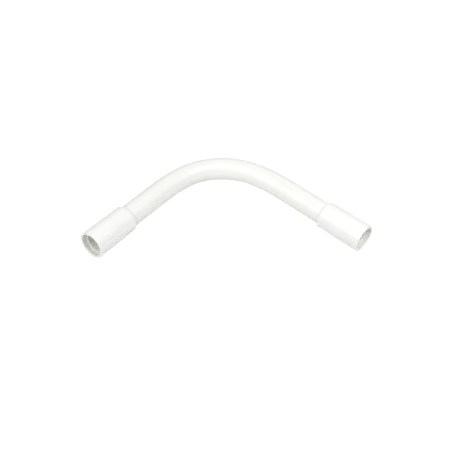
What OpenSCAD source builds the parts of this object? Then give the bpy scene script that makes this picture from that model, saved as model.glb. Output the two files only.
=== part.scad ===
// Conduit elbow: one bent tube with a slip sleeve on each leg.
// It lies flat. One leg runs along +X and the other along +Y.
// The origin is under the middle of the whole fitting, on the surface it lies on.

/* [Tube] */
// Outside diameter of the conduit
tube_od = 20; // [16:1:25]
// Wall thickness of the conduit
tube_wall = 1.8; // [1.4:0.1:2.2]
// Straight length of each leg, from the end of the bend to the cut end
leg_len = 80; // [50:1:120]
// Bevel round the outside of each cut end, which leads the tube into a coupler
cut_bevel = 0.7; // [0.3:0.1:0.9]
// Small bevel round the inside of each cut end, where the burr is taken off
cut_deburr = 0.25; // [0.1:0.05:0.4]

/* [Bend] */
// Centreline radius through the middle of the bend
bend_r = 61; // [50:1:90]
// Angle turned at that radius; the rest of the 90 degrees is in the two eases
bend_angle = 70; // [50:2:84]
// Centreline radius of the ease between the bend and each leg
ease_r = 160; // [100:5:240]
// How far each face of the wall draws in through the bend, where it has stretched
wall_draw = 0.05; // [0.03:0.01:0.1]

/* [Sleeves] */
// Length of each sleeve
sleeve_len = 42; // [30:1:60]
// Outside diameter at the open mouth
sleeve_mouth_od = 24.8; // [23:0.1:31]
// Outside diameter at the rear edge, a little less because of the mould's draft
sleeve_rear_od = 24; // [23:0.1:31]
// Radial gap between the sleeve's grip and the tube
grip_gap = 0.05; // [0.02:0.01:0.1]
// Radial gap between the wider entry at the mouth and a tube
entry_gap = 0.25; // [0.22:0.01:0.4]
// Depth of that entry, measured in from the mouth
entry_len = 4; // [3:0.5:8]
// Bevel at both ends of the sleeve's bore
bore_bevel = 0.35; // [0.2:0.05:0.8]
// Bevel round the outer edge of both ends
edge_bevel = 0.4; // [0.2:0.1:0.8]
// How far each cut end of the tube sits inside its sleeve's mouth
end_inset = 4; // [0:0.5:20]

/* [Hidden] */
$fn = 144;

tube_r = tube_od / 2;
tube_bore_r = tube_r - tube_wall;
mouth_r = sleeve_mouth_od / 2;
rear_r = sleeve_rear_od / 2;
grip_r = tube_r + grip_gap;
entry_r = tube_r + entry_gap;

// The legs' axes meet at the corner. Each ease takes half of the angle that the bend leaves over.
ease_angle = (90 - bend_angle) / 2;
bend_centre = ease_r - (ease_r - bend_r) * cos(ease_angle);
leg_start = bend_centre + (ease_r - bend_r) * sin(ease_angle);
mouth_at = leg_start + leg_len + end_inset;
rear_at = mouth_at - sleeve_len;

// The bend's thinner wall runs this far inside each ease's wall, which makes them one solid
lap_angle = 1;

// Shift that puts the origin under the middle of the fitting's outline
middle = (mouth_at - mouth_r) / 2;

// Stretch of bent tube: a ring section swept around a centre, starting from a direction
module bent_stretch(centre, centreline_r, from_angle, turn, draw = 0) {
    translate([centre[0], centre[1], 0])
        rotate_extrude(start = from_angle, angle = turn)
            translate([centreline_r, 0])
                difference() {
                    circle(r = tube_r - draw);
                    circle(r = tube_bore_r + draw);
                }
}

// Middle of the bend, reaching a little way into the ease at each end
module bend() {
    from_angle = -180 + ease_angle - lap_angle;
    turn = bend_angle + 2 * lap_angle;
    bent_stretch([bend_centre, bend_centre], bend_r, from_angle, turn, wall_draw);
}

// Straight leg standing on its inner end, with the cut end on top
module leg() {
    rotate_extrude()
        polygon([
            [tube_bore_r, 0],
            [tube_r, 0],
            [tube_r, leg_len - cut_bevel],
            [tube_r - cut_bevel, leg_len],
            [tube_bore_r + cut_deburr, leg_len],
            [tube_bore_r, leg_len - cut_deburr]
        ]);
}

// Sleeve standing on its rear edge, with the open mouth on top
module sleeve() {
    entry_at = sleeve_len - entry_len;
    entry_step = entry_r - grip_r;
    rotate_extrude()
        polygon([
            [grip_r + bore_bevel, 0],
            [rear_r - edge_bevel, 0],
            [rear_r, edge_bevel],
            [mouth_r, sleeve_len - edge_bevel],
            [mouth_r - edge_bevel, sleeve_len],
            [entry_r + bore_bevel, sleeve_len],
            [entry_r, sleeve_len - bore_bevel],
            [entry_r, entry_at],
            [grip_r, entry_at - entry_step],
            [grip_r, bore_bevel]
        ]);
}

// Moves a piece from the legs' corner to the fitting's own origin
module from_corner() {
    translate([-middle, -middle, mouth_r])
        children();
}

// Stands a piece on the X leg's axis, its top facing +X
module on_x_leg(distance) {
    translate([distance, 0, 0])
        rotate([0, 90, 0])
            children();
}

// Stands a piece on the Y leg's axis, its top facing +Y
module on_y_leg(distance) {
    translate([0, distance, 0])
        rotate([-90, 0, 0])
            children();
}

module bend_tube() {
    color([0.95, 0.95, 0.91])
        from_corner()
            union() {
                on_x_leg(leg_start)
                    leg();
                bent_stretch([leg_start, ease_r], ease_r, -90 - ease_angle, ease_angle);
                bend();
                bent_stretch([ease_r, leg_start], ease_r, -180, ease_angle);
                on_y_leg(leg_start)
                    leg();
            }
}

// The left and right sleeves are named as seen from the open side of the bend
module left_sleeve() {
    color([0.97, 0.97, 0.96])
        from_corner()
            on_x_leg(rear_at)
                sleeve();
}

module right_sleeve() {
    color([0.97, 0.97, 0.96])
        from_corner()
            on_y_leg(rear_at)
                sleeve();
}

bend_tube();
left_sleeve();
right_sleeve();
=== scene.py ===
"""White PVC conduit elbow: a bent tube with a slip sleeve on each leg, on a pale studio floor."""
import math

import bmesh
import bpy
from mathutils import Matrix, Vector


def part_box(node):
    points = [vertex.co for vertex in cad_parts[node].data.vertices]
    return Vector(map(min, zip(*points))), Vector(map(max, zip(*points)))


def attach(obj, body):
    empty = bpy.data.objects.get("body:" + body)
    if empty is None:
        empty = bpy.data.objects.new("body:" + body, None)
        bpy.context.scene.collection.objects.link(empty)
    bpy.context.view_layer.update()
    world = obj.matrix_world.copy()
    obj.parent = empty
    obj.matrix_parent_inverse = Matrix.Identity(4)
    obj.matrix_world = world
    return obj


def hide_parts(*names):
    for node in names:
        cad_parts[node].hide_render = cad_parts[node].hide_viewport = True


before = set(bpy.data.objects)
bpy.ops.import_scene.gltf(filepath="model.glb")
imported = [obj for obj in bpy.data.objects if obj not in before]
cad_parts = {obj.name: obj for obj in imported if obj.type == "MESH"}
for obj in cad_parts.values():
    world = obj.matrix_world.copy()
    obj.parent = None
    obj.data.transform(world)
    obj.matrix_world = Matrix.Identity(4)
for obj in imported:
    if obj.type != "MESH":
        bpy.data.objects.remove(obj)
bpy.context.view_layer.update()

# ---------------------------------------------------------------- sizes, in metres
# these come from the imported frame
tube_low, tube_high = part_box("bend_tube")
sleeve_low, sleeve_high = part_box("left_sleeve")

AXIS_Z = (sleeve_low.z + sleeve_high.z) / 2
LEG_LINE = (sleeve_low.y + sleeve_high.y) / 2
TUBE_R = (tube_high.z - tube_low.z) / 2
CUT_AT = tube_high.x
MOUTH_AT = sleeve_high.x
REAR_AT = sleeve_low.x
MOUTH_R = (sleeve_high.z - sleeve_low.z) / 2

# these repeat the design's own dimensions
WALL = 0.0018
BEND_R = 0.061
EASE_R = 0.160
EASE_ANGLE = math.radians(10)
CUT_BEVEL = 0.0007
CUT_DEBURR = 0.00025
REAR_R = 0.012
GRIP_R = 0.01005
ENTRY_R = 0.01025
ENTRY_LENGTH = 0.004
BORE_BEVEL = 0.00035
# in place of the design's 0.4 mm bevel
EDGE_ROUND = 0.0005

# how far the bent stretch has gone out of round: narrower along the bend's radius and taller
# square to it, as shares of the tube's radius, and its wall off centre, as a share of the wall
FLATTENING = 0.09
BULGE = 0.027
WALL_SHIFT = 0.11
# the turn from either end of the bend to where that is complete
FULL_FLAT_AFTER = math.radians(25)

# loops this far beside a rounded edge keep its shading off the faces next to it
HOLD = 0.00006
# an edge sharper than this shades as a crease
CREASE = math.radians(28)

# how finely the pieces are divided: vertices round a ring, and rings along each kind of stretch
AROUND = 128
LEG_STEPS = 40
TURN_STEPS_A_DEGREE = 1.5
LEAST_TURN_STEPS = 8
SLEEVE_WALL_STEPS = 24
SLEEVE_GRIP_STEPS = 12
EDGE_STEPS = 6
BEVEL_STEPS = 4

RIGHT_ANGLE = math.radians(90)
UP = Vector((0, 0, 1))


# ---------------------------------------------------------------- mesh helpers
def arc_points(centre, radius, start, end, steps):
    """Points (distance along, radius out) on a small arc of a lathe profile; angles in degrees."""
    points = []
    for i in range(steps + 1):
        angle = math.radians(start + (end - start) * i / steps)
        points.append((centre[0] + radius * math.cos(angle), centre[1] + radius * math.sin(angle)))
    return points


def skin(name, rings, unbent):
    """Closed band of quads through a loop of rings.

    unbent holds each vertex's place on the piece as if it were straight, for the materials.
    """
    mesh = bpy.data.meshes.new(name)
    count = len(rings[0])
    faces = []
    for i in range(len(rings)):
        here = i * count
        there = (i + 1) % len(rings) * count
        for j in range(count):
            k = (j + 1) % count
            faces.append((here + j, here + k, there + k, there + j))
    mesh.from_pydata([p for ring in rings for p in ring], [], faces)
    attribute = mesh.attributes.new("unbent", "FLOAT_VECTOR", "POINT")
    attribute.data.foreach_set("vector", [x for ring in unbent for p in ring for x in p])
    build = bmesh.new()
    build.from_mesh(mesh)
    bmesh.ops.recalc_face_normals(build, faces=build.faces)
    build.to_mesh(mesh)
    build.free()
    mesh.shade_smooth()
    mesh.set_sharp_from_angle(angle=CREASE)
    piece = bpy.data.objects.new(name, mesh)
    bpy.context.scene.collection.objects.link(piece)
    return piece


def level_direction(heading):
    return Vector((math.cos(heading), math.sin(heading), 0))


# ---------------------------------------------------------------- the bent tube
def centreline():
    """Stations along the tube, from the left cut end to the right one.

    A station is (point, direction, distance from the left end, share of the full flattening).
    """
    leg_stretch = (None, None)
    ease = (EASE_R, EASE_ANGLE)
    bend = (BEND_R, RIGHT_ANGLE - 2 * EASE_ANGLE)
    tangent_length = EASE_R - (EASE_R - BEND_R) * (math.cos(EASE_ANGLE) - math.sin(EASE_ANGLE))
    leg = CUT_AT - LEG_LINE - tangent_length
    point = Vector((CUT_AT, LEG_LINE, AXIS_Z))
    heading = math.radians(180)
    distance = 0.0
    turned = 0.0
    stations = []

    def add():
        share = min(turned, RIGHT_ANGLE - turned) / FULL_FLAT_AFTER
        share = max(0.0, min(1.0, share))
        smooth_share = share * share * (3 - 2 * share)
        stations.append((point.copy(), level_direction(heading), distance, smooth_share))

    for radius, angle in (leg_stretch, ease, bend, ease, leg_stretch):
        if radius is None:
            step = leg / LEG_STEPS
            for _ in range(LEG_STEPS):
                add()
                point = point + level_direction(heading) * step
                distance += step
        else:
            steps = max(LEAST_TURN_STEPS, round(math.degrees(angle) * TURN_STEPS_A_DEGREE))
            turn = angle / steps
            chord = 2 * radius * math.sin(turn / 2)
            for _ in range(steps):
                add()
                point = point + level_direction(heading - turn / 2) * chord
                heading -= turn
                turned += turn
                distance += radius * turn
    add()
    return stations


def tube_ring(station, skin_depth, along=0.0):
    """One ring of the tube, this far along from a station, and its place on the unbent tube.

    skin_depth is 0 on the outer face and 1 on the bore. In the bend the wall is thin on the inside
    of the turn and thick on the outside. A real bent tube has it the other way round.
    """
    point, direction, distance, share = station
    inward = Vector((direction.y, -direction.x, 0))
    thin_wall = WALL * (1 - WALL_SHIFT * share)
    thick_wall = WALL * (1 + WALL_SHIFT * share)
    half_across = TUBE_R * (1 - FLATTENING * share) - (thin_wall + thick_wall) / 2 * skin_depth
    half_up = TUBE_R * (1 + BULGE * share) - WALL * skin_depth
    centre = point + direction * along - inward * (thin_wall - thick_wall) / 2 * skin_depth
    ring, unbent = [], []
    for j in range(AROUND):
        angle = math.tau * j / AROUND
        across, up = math.cos(angle) * half_across, math.sin(angle) * half_up
        ring.append(centre + inward * across + UP * up)
        unbent.append((distance + along, across, up))
    return ring, unbent


def bend_tube():
    """The tube and its unbent length: out along its outer face and back along its bore."""
    stations = centreline()
    first, last = stations[0], stations[-1]
    bevel = CUT_BEVEL / WALL
    deburr = 1 - CUT_DEBURR / WALL
    rings = [tube_ring(first, bevel)]
    rings += [tube_ring(first, 0, at) for at in (CUT_BEVEL, CUT_BEVEL + HOLD)]
    rings += [tube_ring(station, 0) for station in stations[1:-1]]
    rings += [tube_ring(last, 0, -at) for at in (CUT_BEVEL + HOLD, CUT_BEVEL)]
    rings += [tube_ring(last, bevel), tube_ring(last, deburr)]
    rings += [tube_ring(last, 1, -at) for at in (CUT_DEBURR, CUT_DEBURR + HOLD)]
    rings += [tube_ring(station, 1) for station in reversed(stations[1:-1])]
    rings += [tube_ring(first, 1, at) for at in (CUT_DEBURR + HOLD, CUT_DEBURR)]
    rings += [tube_ring(first, deburr)]
    unbent_length = last[2]
    return skin("conduit", [ring for ring, _ in rings], [unbent for _, unbent in rings]), unbent_length


# ---------------------------------------------------------------- the slip sleeves
def sleeve_profile():
    """Outline of the sleeve's wall as (distance from the rear edge, radius), once round."""
    length = MOUTH_AT - REAR_AT
    draft = (MOUTH_R - REAR_R) / length
    outline = [(0, REAR_R - EDGE_ROUND - HOLD)]
    outline += arc_points((EDGE_ROUND, REAR_R - EDGE_ROUND), EDGE_ROUND, 180, 90, EDGE_STEPS)
    wall_from, wall_to = EDGE_ROUND + HOLD, length - EDGE_ROUND - HOLD
    for i in range(SLEEVE_WALL_STEPS + 1):
        at = wall_from + (wall_to - wall_from) * i / SLEEVE_WALL_STEPS
        outline.append((at, REAR_R + draft * at))
    outline += arc_points((length - EDGE_ROUND, MOUTH_R - EDGE_ROUND), EDGE_ROUND, 90, 0, EDGE_STEPS)
    outline += [(length, MOUTH_R - EDGE_ROUND - HOLD), (length, ENTRY_R + BORE_BEVEL + HOLD)]
    outline += arc_points((length - BORE_BEVEL, ENTRY_R + BORE_BEVEL), BORE_BEVEL, 0, -90, BEVEL_STEPS)
    entry_at = length - ENTRY_LENGTH
    outline += [(at, ENTRY_R) for at in (length - BORE_BEVEL - HOLD, entry_at + HOLD, entry_at)]
    grip_from, grip_to = entry_at - (ENTRY_R - GRIP_R), BORE_BEVEL + HOLD
    outline.append((grip_from, GRIP_R))
    for i in range(SLEEVE_GRIP_STEPS + 1):
        at = grip_from - HOLD + (grip_to - grip_from + HOLD) * i / SLEEVE_GRIP_STEPS
        outline.append((at, GRIP_R))
    outline += arc_points((BORE_BEVEL, GRIP_R + BORE_BEVEL), BORE_BEVEL, 270, 180, BEVEL_STEPS)
    outline.append((0, GRIP_R + BORE_BEVEL + HOLD))
    return outline


def slip_sleeve(name, towards, across, pattern_at):
    """A sleeve on a leg. towards points out of its mouth, and across is level and square to it.

    pattern_at shifts the sleeve's place in the material's patterns, so that the two differ.
    """
    rings, unbent = [], []
    start = Vector((LEG_LINE, LEG_LINE, AXIS_Z)) + towards * (REAR_AT - LEG_LINE)
    for along, radius in sleeve_profile():
        ring, straight = [], []
        for j in range(AROUND):
            angle = math.tau * j / AROUND
            aside, up = math.cos(angle) * radius, math.sin(angle) * radius
            ring.append(start + towards * along + across * aside + UP * up)
            straight.append((pattern_at + along, aside, up))
        rings.append(ring)
        unbent.append(straight)
    return skin(name, rings, unbent)


# ---------------------------------------------------------------- materials
PVC_IOR = 1.53

# nearer to the axis than these, a surface is the tube's bore or the inside of a sleeve, and takes the
# darker, yellower colours of painted shade
BORE_SHADE_MARK = 0.009
ENTRY_SHADE_MARK = 0.01035
MARK_BLUR = 0.00005

# linear colours; a pair is the two ends of a blend
CONDUIT_BODY = ((0.795, 0.803, 0.767), (0.815, 0.822, 0.789))
CONDUIT_BAND = (0.808, 0.815, 0.783)
CONDUIT_SCUFF = (0.775, 0.778, 0.748)
# painted shade: the bore is the same PVC, given a darker, yellower colour for the shade inside the
# tube
CONDUIT_BORE_PAINTED_SHADE = ((0.775, 0.768, 0.714), (0.791, 0.784, 0.734))
SAWN_FACE = ((0.79, 0.80, 0.77), (0.86, 0.865, 0.84))
SLEEVE_BODY = ((0.808, 0.810, 0.789), (0.827, 0.828, 0.811))
SLEEVE_SCUFF = (0.786, 0.786, 0.769)
# painted shade: the sleeve's inside is the same PVC, given a darker, yellower colour for the shade in
# its mouth
SLEEVE_INSIDE_PAINTED_SHADE = ((0.777, 0.774, 0.737), (0.795, 0.792, 0.759))

# the Mix node's colour sockets, which share their names with its number sockets
MIX_FIRST, MIX_SECOND, MIX_RESULT = 6, 7, 2


class Shading:
    """One material's node tree, with short-hand for the nodes it needs."""

    def __init__(self, name):
        self.material = bpy.data.materials.new(name)
        self.material.use_nodes = True
        self.tree = self.material.node_tree
        self.shader = self.tree.nodes["Principled BSDF"]

    def add(self, kind, inputs, **settings):
        """New node. inputs maps a socket's name or number to a number or to another node's output."""
        node = self.tree.nodes.new(kind)
        for key, value in settings.items():
            setattr(node, key, value)
        for key, value in inputs.items():
            if isinstance(value, bpy.types.NodeSocket):
                self.tree.links.new(value, node.inputs[key])
            else:
                node.inputs[key].default_value = value
        return node

    def place(self):
        """Each point's place on the piece as if it were straight: x along it, y and z across."""
        return self.add("ShaderNodeAttribute", {}, attribute_name="unbent").outputs["Vector"]

    def along(self, place):
        return self.add("ShaderNodeSeparateXYZ", {"Vector": place}).outputs["X"]

    def inside(self, place, radius):
        """1 nearer to the piece's axis than this radius, and 0 outside it."""
        across = self.add("ShaderNodeVectorMath", {0: place, 1: (0, 1, 1)}, operation="MULTIPLY")
        from_axis = self.add("ShaderNodeVectorMath", {0: across.outputs["Vector"]}, operation="LENGTH")
        return self.span(from_axis.outputs["Value"], radius - MARK_BLUR, radius + MARK_BLUR, 1, 0)

    def noise(self, place, along, across, detail=2.0, roughness=0.5, upright=None):
        """Noise with this many cells a metre along the piece and across it, and upright if given."""
        scale = (along, across, across if upright is None else upright)
        scaled = self.add("ShaderNodeVectorMath", {0: place, 1: scale}, operation="MULTIPLY")
        inputs = {"Vector": scaled.outputs["Vector"], "Scale": 1.0,
                  "Detail": detail, "Roughness": roughness}
        return self.add("ShaderNodeTexNoise", inputs).outputs["Fac"]

    def span(self, value, low, high, to_low=0.0, to_high=1.0):
        """Map low..high onto to_low..to_high, held level outside that."""
        inputs = {"Value": value, "From Min": low, "From Max": high,
                  "To Min": to_low, "To Max": to_high}
        return self.add("ShaderNodeMapRange", inputs).outputs["Result"]

    def maths(self, operation, first, second):
        return self.add("ShaderNodeMath", {0: first, 1: second}, operation=operation).outputs["Value"]

    def tint(self, share, first, second):
        """Colour between first and second."""
        inputs = {"Factor": share}
        for socket, colour in ((MIX_FIRST, first), (MIX_SECOND, second)):
            inputs[socket] = colour if isinstance(colour, bpy.types.NodeSocket) else (*colour, 1)
        return self.add("ShaderNodeMix", inputs, data_type="RGBA").outputs[MIX_RESULT]

    def relief(self, height, depth, under=None):
        """Surface raised by depth metres where height is 1, on top of the relief under it."""
        inputs = {"Height": height, "Distance": depth, "Strength": 1.0}
        if under is not None:
            inputs["Normal"] = under
        return self.add("ShaderNodeBump", inputs).outputs["Normal"]

    def finish(self, colour, roughness, normal):
        self.tree.links.new(colour, self.shader.inputs["Base Color"])
        self.tree.links.new(roughness, self.shader.inputs["Roughness"])
        self.tree.links.new(normal, self.shader.inputs["Normal"])
        self.shader.inputs["IOR"].default_value = PVC_IOR
        return self.material


def conduit_pvc(length):
    """Extruded ivory PVC: faint lines drawn along it by the die, light scuffs, sawn ends, and painted
    shade in its bore, which is darker and yellower than the outside.
    """
    m = Shading("conduit_pvc")
    place = m.place()
    cloud = m.noise(place, along=60, across=110, detail=3)
    bands = m.noise(place, along=6, across=260, detail=2)
    die_lines = m.noise(place, along=14, across=1500, detail=3, roughness=0.6)
    peel = m.noise(place, along=620, across=820)
    wear = m.noise(place, along=190, across=340, detail=5, roughness=0.65)
    scuffs = m.span(wear, 0.58, 0.70)

    # the cut faces are at both ends of the unbent length
    along = m.along(place)
    from_end = m.maths("MINIMUM", along, m.maths("SUBTRACT", length, along))
    sawn = m.span(from_end, 0.00002, 0.00006, 1, 0)
    bevelled = m.span(from_end, CUT_BEVEL, CUT_BEVEL + 0.00004, 1, 0)
    saw_marks = m.noise(place, along=1, across=350, upright=5200, detail=3)

    body = m.tint(m.span(cloud, 0.3, 0.7), *CONDUIT_BODY)
    body = m.tint(m.span(bands, 0.35, 0.65), body, CONDUIT_BAND)
    body = m.tint(m.maths("MULTIPLY", scuffs, 0.35), body, CONDUIT_SCUFF)
    # painted shade: the bore's colour is darker and yellower than the outside
    bore = m.tint(m.span(cloud, 0.3, 0.7), *CONDUIT_BORE_PAINTED_SHADE)
    body = m.tint(m.inside(place, BORE_SHADE_MARK), body, bore)
    face = m.tint(saw_marks, *SAWN_FACE)
    colour = m.tint(sawn, body, face)

    roughness = m.span(die_lines, 0.3, 0.7, 0.235, 0.295)
    for where, rougher in ((scuffs, 0.10), (bevelled, 0.12), (sawn, 0.15)):
        roughness = m.maths("ADD", roughness, m.maths("MULTIPLY", where, rougher))

    normal = m.relief(bands, depth=0.000012)
    normal = m.relief(die_lines, depth=0.0000022, under=normal)
    normal = m.relief(peel, depth=0.0000016, under=normal)
    normal = m.relief(m.maths("MULTIPLY", saw_marks, sawn), depth=0.00003, under=normal)
    return m.finish(colour, roughness, normal)


def sleeve_pvc():
    """Moulded white PVC: glossier than the conduit, with a faint orange peel, handling marks, and
    painted shade inside, which is darker and yellower than the outside.
    """
    m = Shading("sleeve_pvc")
    place = m.place()
    cloud = m.noise(place, along=80, across=80, detail=3)
    peel = m.noise(place, along=520, across=520)
    wear = m.noise(place, along=260, across=260, detail=5, roughness=0.65)
    scuffs = m.span(wear, 0.60, 0.72)
    hairlines = m.noise(place, along=320, across=4200, detail=2)

    colour = m.tint(m.span(cloud, 0.3, 0.7), *SLEEVE_BODY)
    colour = m.tint(m.maths("MULTIPLY", scuffs, 0.3), colour, SLEEVE_SCUFF)
    # painted shade: the inside of the sleeve is darker and yellower than the outside
    inner_painted_shade = m.tint(m.span(cloud, 0.3, 0.7), *SLEEVE_INSIDE_PAINTED_SHADE)
    colour = m.tint(m.inside(place, ENTRY_SHADE_MARK), colour, inner_painted_shade)

    roughness = m.span(cloud, 0.3, 0.7, 0.155, 0.185)
    roughness = m.maths("ADD", roughness, m.maths("MULTIPLY", scuffs, 0.09))
    roughness = m.maths("ADD", roughness, m.span(hairlines, 0.62, 0.75, 0, 0.06))

    normal = m.relief(peel, depth=0.0000014)
    normal = m.relief(cloud, depth=0.000006, under=normal)
    return m.finish(colour, roughness, normal)


tube, unbent_length = bend_tube()
tube.data.materials.append(conduit_pvc(unbent_length))
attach(tube, "tube")
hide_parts("bend_tube")

moulded = sleeve_pvc()
along_x, along_y = Vector((1, 0, 0)), Vector((0, 1, 0))
for side, towards, across, pattern_at in (("left", along_x, along_y, 0.0),
                                          ("right", along_y, along_x, 0.7)):
    sleeve = slip_sleeve(side + "_slip_sleeve", towards, across, pattern_at)
    sleeve.data.materials.append(moulded)
    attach(sleeve, side + "_coupler")
    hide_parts(side + "_sleeve")


# ---------------------------------------------------------------- stage, light and camera
FLOOR_R = 6.0
FLOOR_AROUND = 48
# just under the bounce card
FLOOR_Z = -0.0005
# how much of the light that falls on the stage it sends back
STAGE_WHITE = 0.8
# a little over 1, so that the background is white in the picture
SURROUND_GLOW = 1.03
BOX_DISTANCE = 1.0
LIGHT_AIM = Vector((0, 0, 0.01))

# The view: from the open side of the bend, looking down
VIEW_AZIMUTH = math.radians(125.17)
VIEW_ELEVATION = math.radians(47.19)
VIEW_ROLL = math.radians(5.95)
VIEW_DISTANCE = 0.855
VIEW_AIM = Vector((-0.0073, -0.0090, 0.0103))
LENS_MM = 79.5
SENSOR_MM = 36


def stage_material(name, roughness, specular):
    material = bpy.data.materials.new(name)
    material.use_nodes = True
    shader = material.node_tree.nodes["Principled BSDF"]
    shader.inputs["Base Color"].default_value = (STAGE_WHITE, STAGE_WHITE, STAGE_WHITE, 1)
    shader.inputs["Roughness"].default_value = roughness
    shader.inputs["Specular IOR Level"].default_value = specular
    return material, shader


def stage_piece(name, verts, faces, material, seen):
    """A staged mesh that either only the camera sees, or everything but the camera."""
    mesh = bpy.data.meshes.new(name)
    mesh.from_pydata(verts, [], faces)
    mesh.materials.append(material)
    piece = bpy.data.objects.new(name, mesh)
    piece.visible_camera = seen
    for ray in ("diffuse", "glossy", "transmission", "shadow"):
        setattr(piece, "visible_" + ray, not seen)
    bpy.context.scene.collection.objects.link(piece)


def white_surround():
    """White floor that rises into a white wall all round, as in a photographer's cove.

    Only the camera sees it. It isn't sampled as a lamp, because it lights nothing.
    """
    material, shader = stage_material("white_surround", roughness=1.0, specular=0)
    material.cycles.emission_sampling = "NONE"
    shader.inputs["Emission Color"].default_value = (1, 1, 1, 1)
    shader.inputs["Emission Strength"].default_value = SURROUND_GLOW
    profile = [(FLOOR_R, FLOOR_Z), (FLOOR_R * 1.2, FLOOR_R * 0.1), (FLOOR_R * 1.3, FLOOR_R * 0.8)]
    count = FLOOR_AROUND
    verts = [(r * math.cos(math.tau * j / count), r * math.sin(math.tau * j / count), z)
             for r, z in profile for j in range(count)]
    faces = [tuple(range(count))]
    for i in range(len(profile) - 1):
        for j in range(count):
            k = (j + 1) % count
            faces.append((i * count + j, i * count + k, (i + 1) * count + k, (i + 1) * count + j))
    stage_piece("floor", verts, faces, material, True)


def bounce_card():
    """Pale card in the floor's place, which throws the studio's light back up at the fitting.

    The camera doesn't see it.
    """
    material, _ = stage_material("bounce_card", roughness=0.9, specular=0.2)
    half = FLOOR_R
    verts = [(-half, -half, 0), (half, -half, 0), (half, half, 0), (-half, half, 0)]
    stage_piece("bounce_card", verts, [(0, 1, 2, 3)], material, False)


def facing(azimuth, elevation):
    """Direction from the fitting. Azimuth is measured from +X towards +Y; both are in degrees."""
    azimuth, elevation = math.radians(azimuth), math.radians(elevation)
    level = math.cos(elevation)
    return Vector((level * math.cos(azimuth), level * math.sin(azimuth), math.sin(elevation)))


def soft_box(name, towards, width, height, strength):
    """Soft box facing the fitting. strength is its radiance, and its size is in metres."""
    light = bpy.data.lights.new(name, "AREA")
    light.shape = "RECTANGLE"
    light.size = width
    light.size_y = height
    light.energy = strength * math.pi * width * height
    box = bpy.data.objects.new(name, light)
    box.location = LIGHT_AIM + towards * BOX_DISTANCE
    box.rotation_euler = towards.to_track_quat("Z", "Y").to_euler()
    bpy.context.scene.collection.objects.link(box)


def surround_light(level, patches):
    """Dim even light from all round, with soft round patches in it.

    A patch is (direction, cosine of the angle to its rim, cosine to where it is full, strength).
    """
    world = bpy.data.worlds.new("studio")
    world.use_nodes = True
    tree = world.node_tree
    towards = tree.nodes.new("ShaderNodeTexCoord").outputs["Generated"]
    total = None
    for direction, rim, full, strength in patches:
        along = tree.nodes.new("ShaderNodeVectorMath")
        along.operation = "DOT_PRODUCT"
        tree.links.new(towards, along.inputs[0])
        along.inputs[1].default_value = direction
        patch = tree.nodes.new("ShaderNodeMapRange")
        patch.interpolation_type = "SMOOTHSTEP"
        patch.inputs["From Min"].default_value = rim
        patch.inputs["From Max"].default_value = full
        patch.inputs["To Max"].default_value = strength
        tree.links.new(along.outputs["Value"], patch.inputs["Value"])
        plus = tree.nodes.new("ShaderNodeMath")
        tree.links.new(patch.outputs["Result"], plus.inputs[0])
        if total is None:
            plus.inputs[1].default_value = level
        else:
            tree.links.new(total, plus.inputs[1])
        total = plus.outputs["Value"]
    background = tree.nodes["Background"]
    background.inputs["Color"].default_value = (1, 1, 1, 1)
    tree.links.new(total, background.inputs["Strength"])
    bpy.context.scene.world = world


def studio_light():
    soft_box("right_box", facing(98, 55), width=0.55, height=0.50, strength=6.3)
    soft_box("left_box", facing(-20, 36), width=0.75, height=0.90, strength=1.65)
    back = (facing(-145, 15), 0.6, 1.0, 0.80)
    top = (facing(0, 90), 0.3, 1.0, 0.535)
    front = (facing(15, 40), 0.9, 0.98, 2.0)
    surround_light(level=0.075, patches=[back, top, front])


def add_camera():
    back = Vector((math.sin(VIEW_AZIMUTH) * math.cos(VIEW_ELEVATION),
                   -math.cos(VIEW_AZIMUTH) * math.cos(VIEW_ELEVATION),
                   math.sin(VIEW_ELEVATION)))
    level = level_direction(VIEW_AZIMUTH)
    upright = back.cross(level)
    right = level * math.cos(VIEW_ROLL) + upright * math.sin(VIEW_ROLL)
    up = back.cross(right)
    data = bpy.data.cameras.new("camera")
    data.sensor_width = SENSOR_MM
    data.lens = LENS_MM
    camera = bpy.data.objects.new("camera", data)
    turn = Matrix((right, up, back)).transposed()
    camera.matrix_world = Matrix.Translation(VIEW_AIM + back * VIEW_DISTANCE) @ turn.to_4x4()
    bpy.context.scene.collection.objects.link(camera)
    bpy.context.scene.camera = camera


white_surround()
bounce_card()
studio_light()
add_camera()
bpy.context.scene.view_settings.view_transform = "Standard"
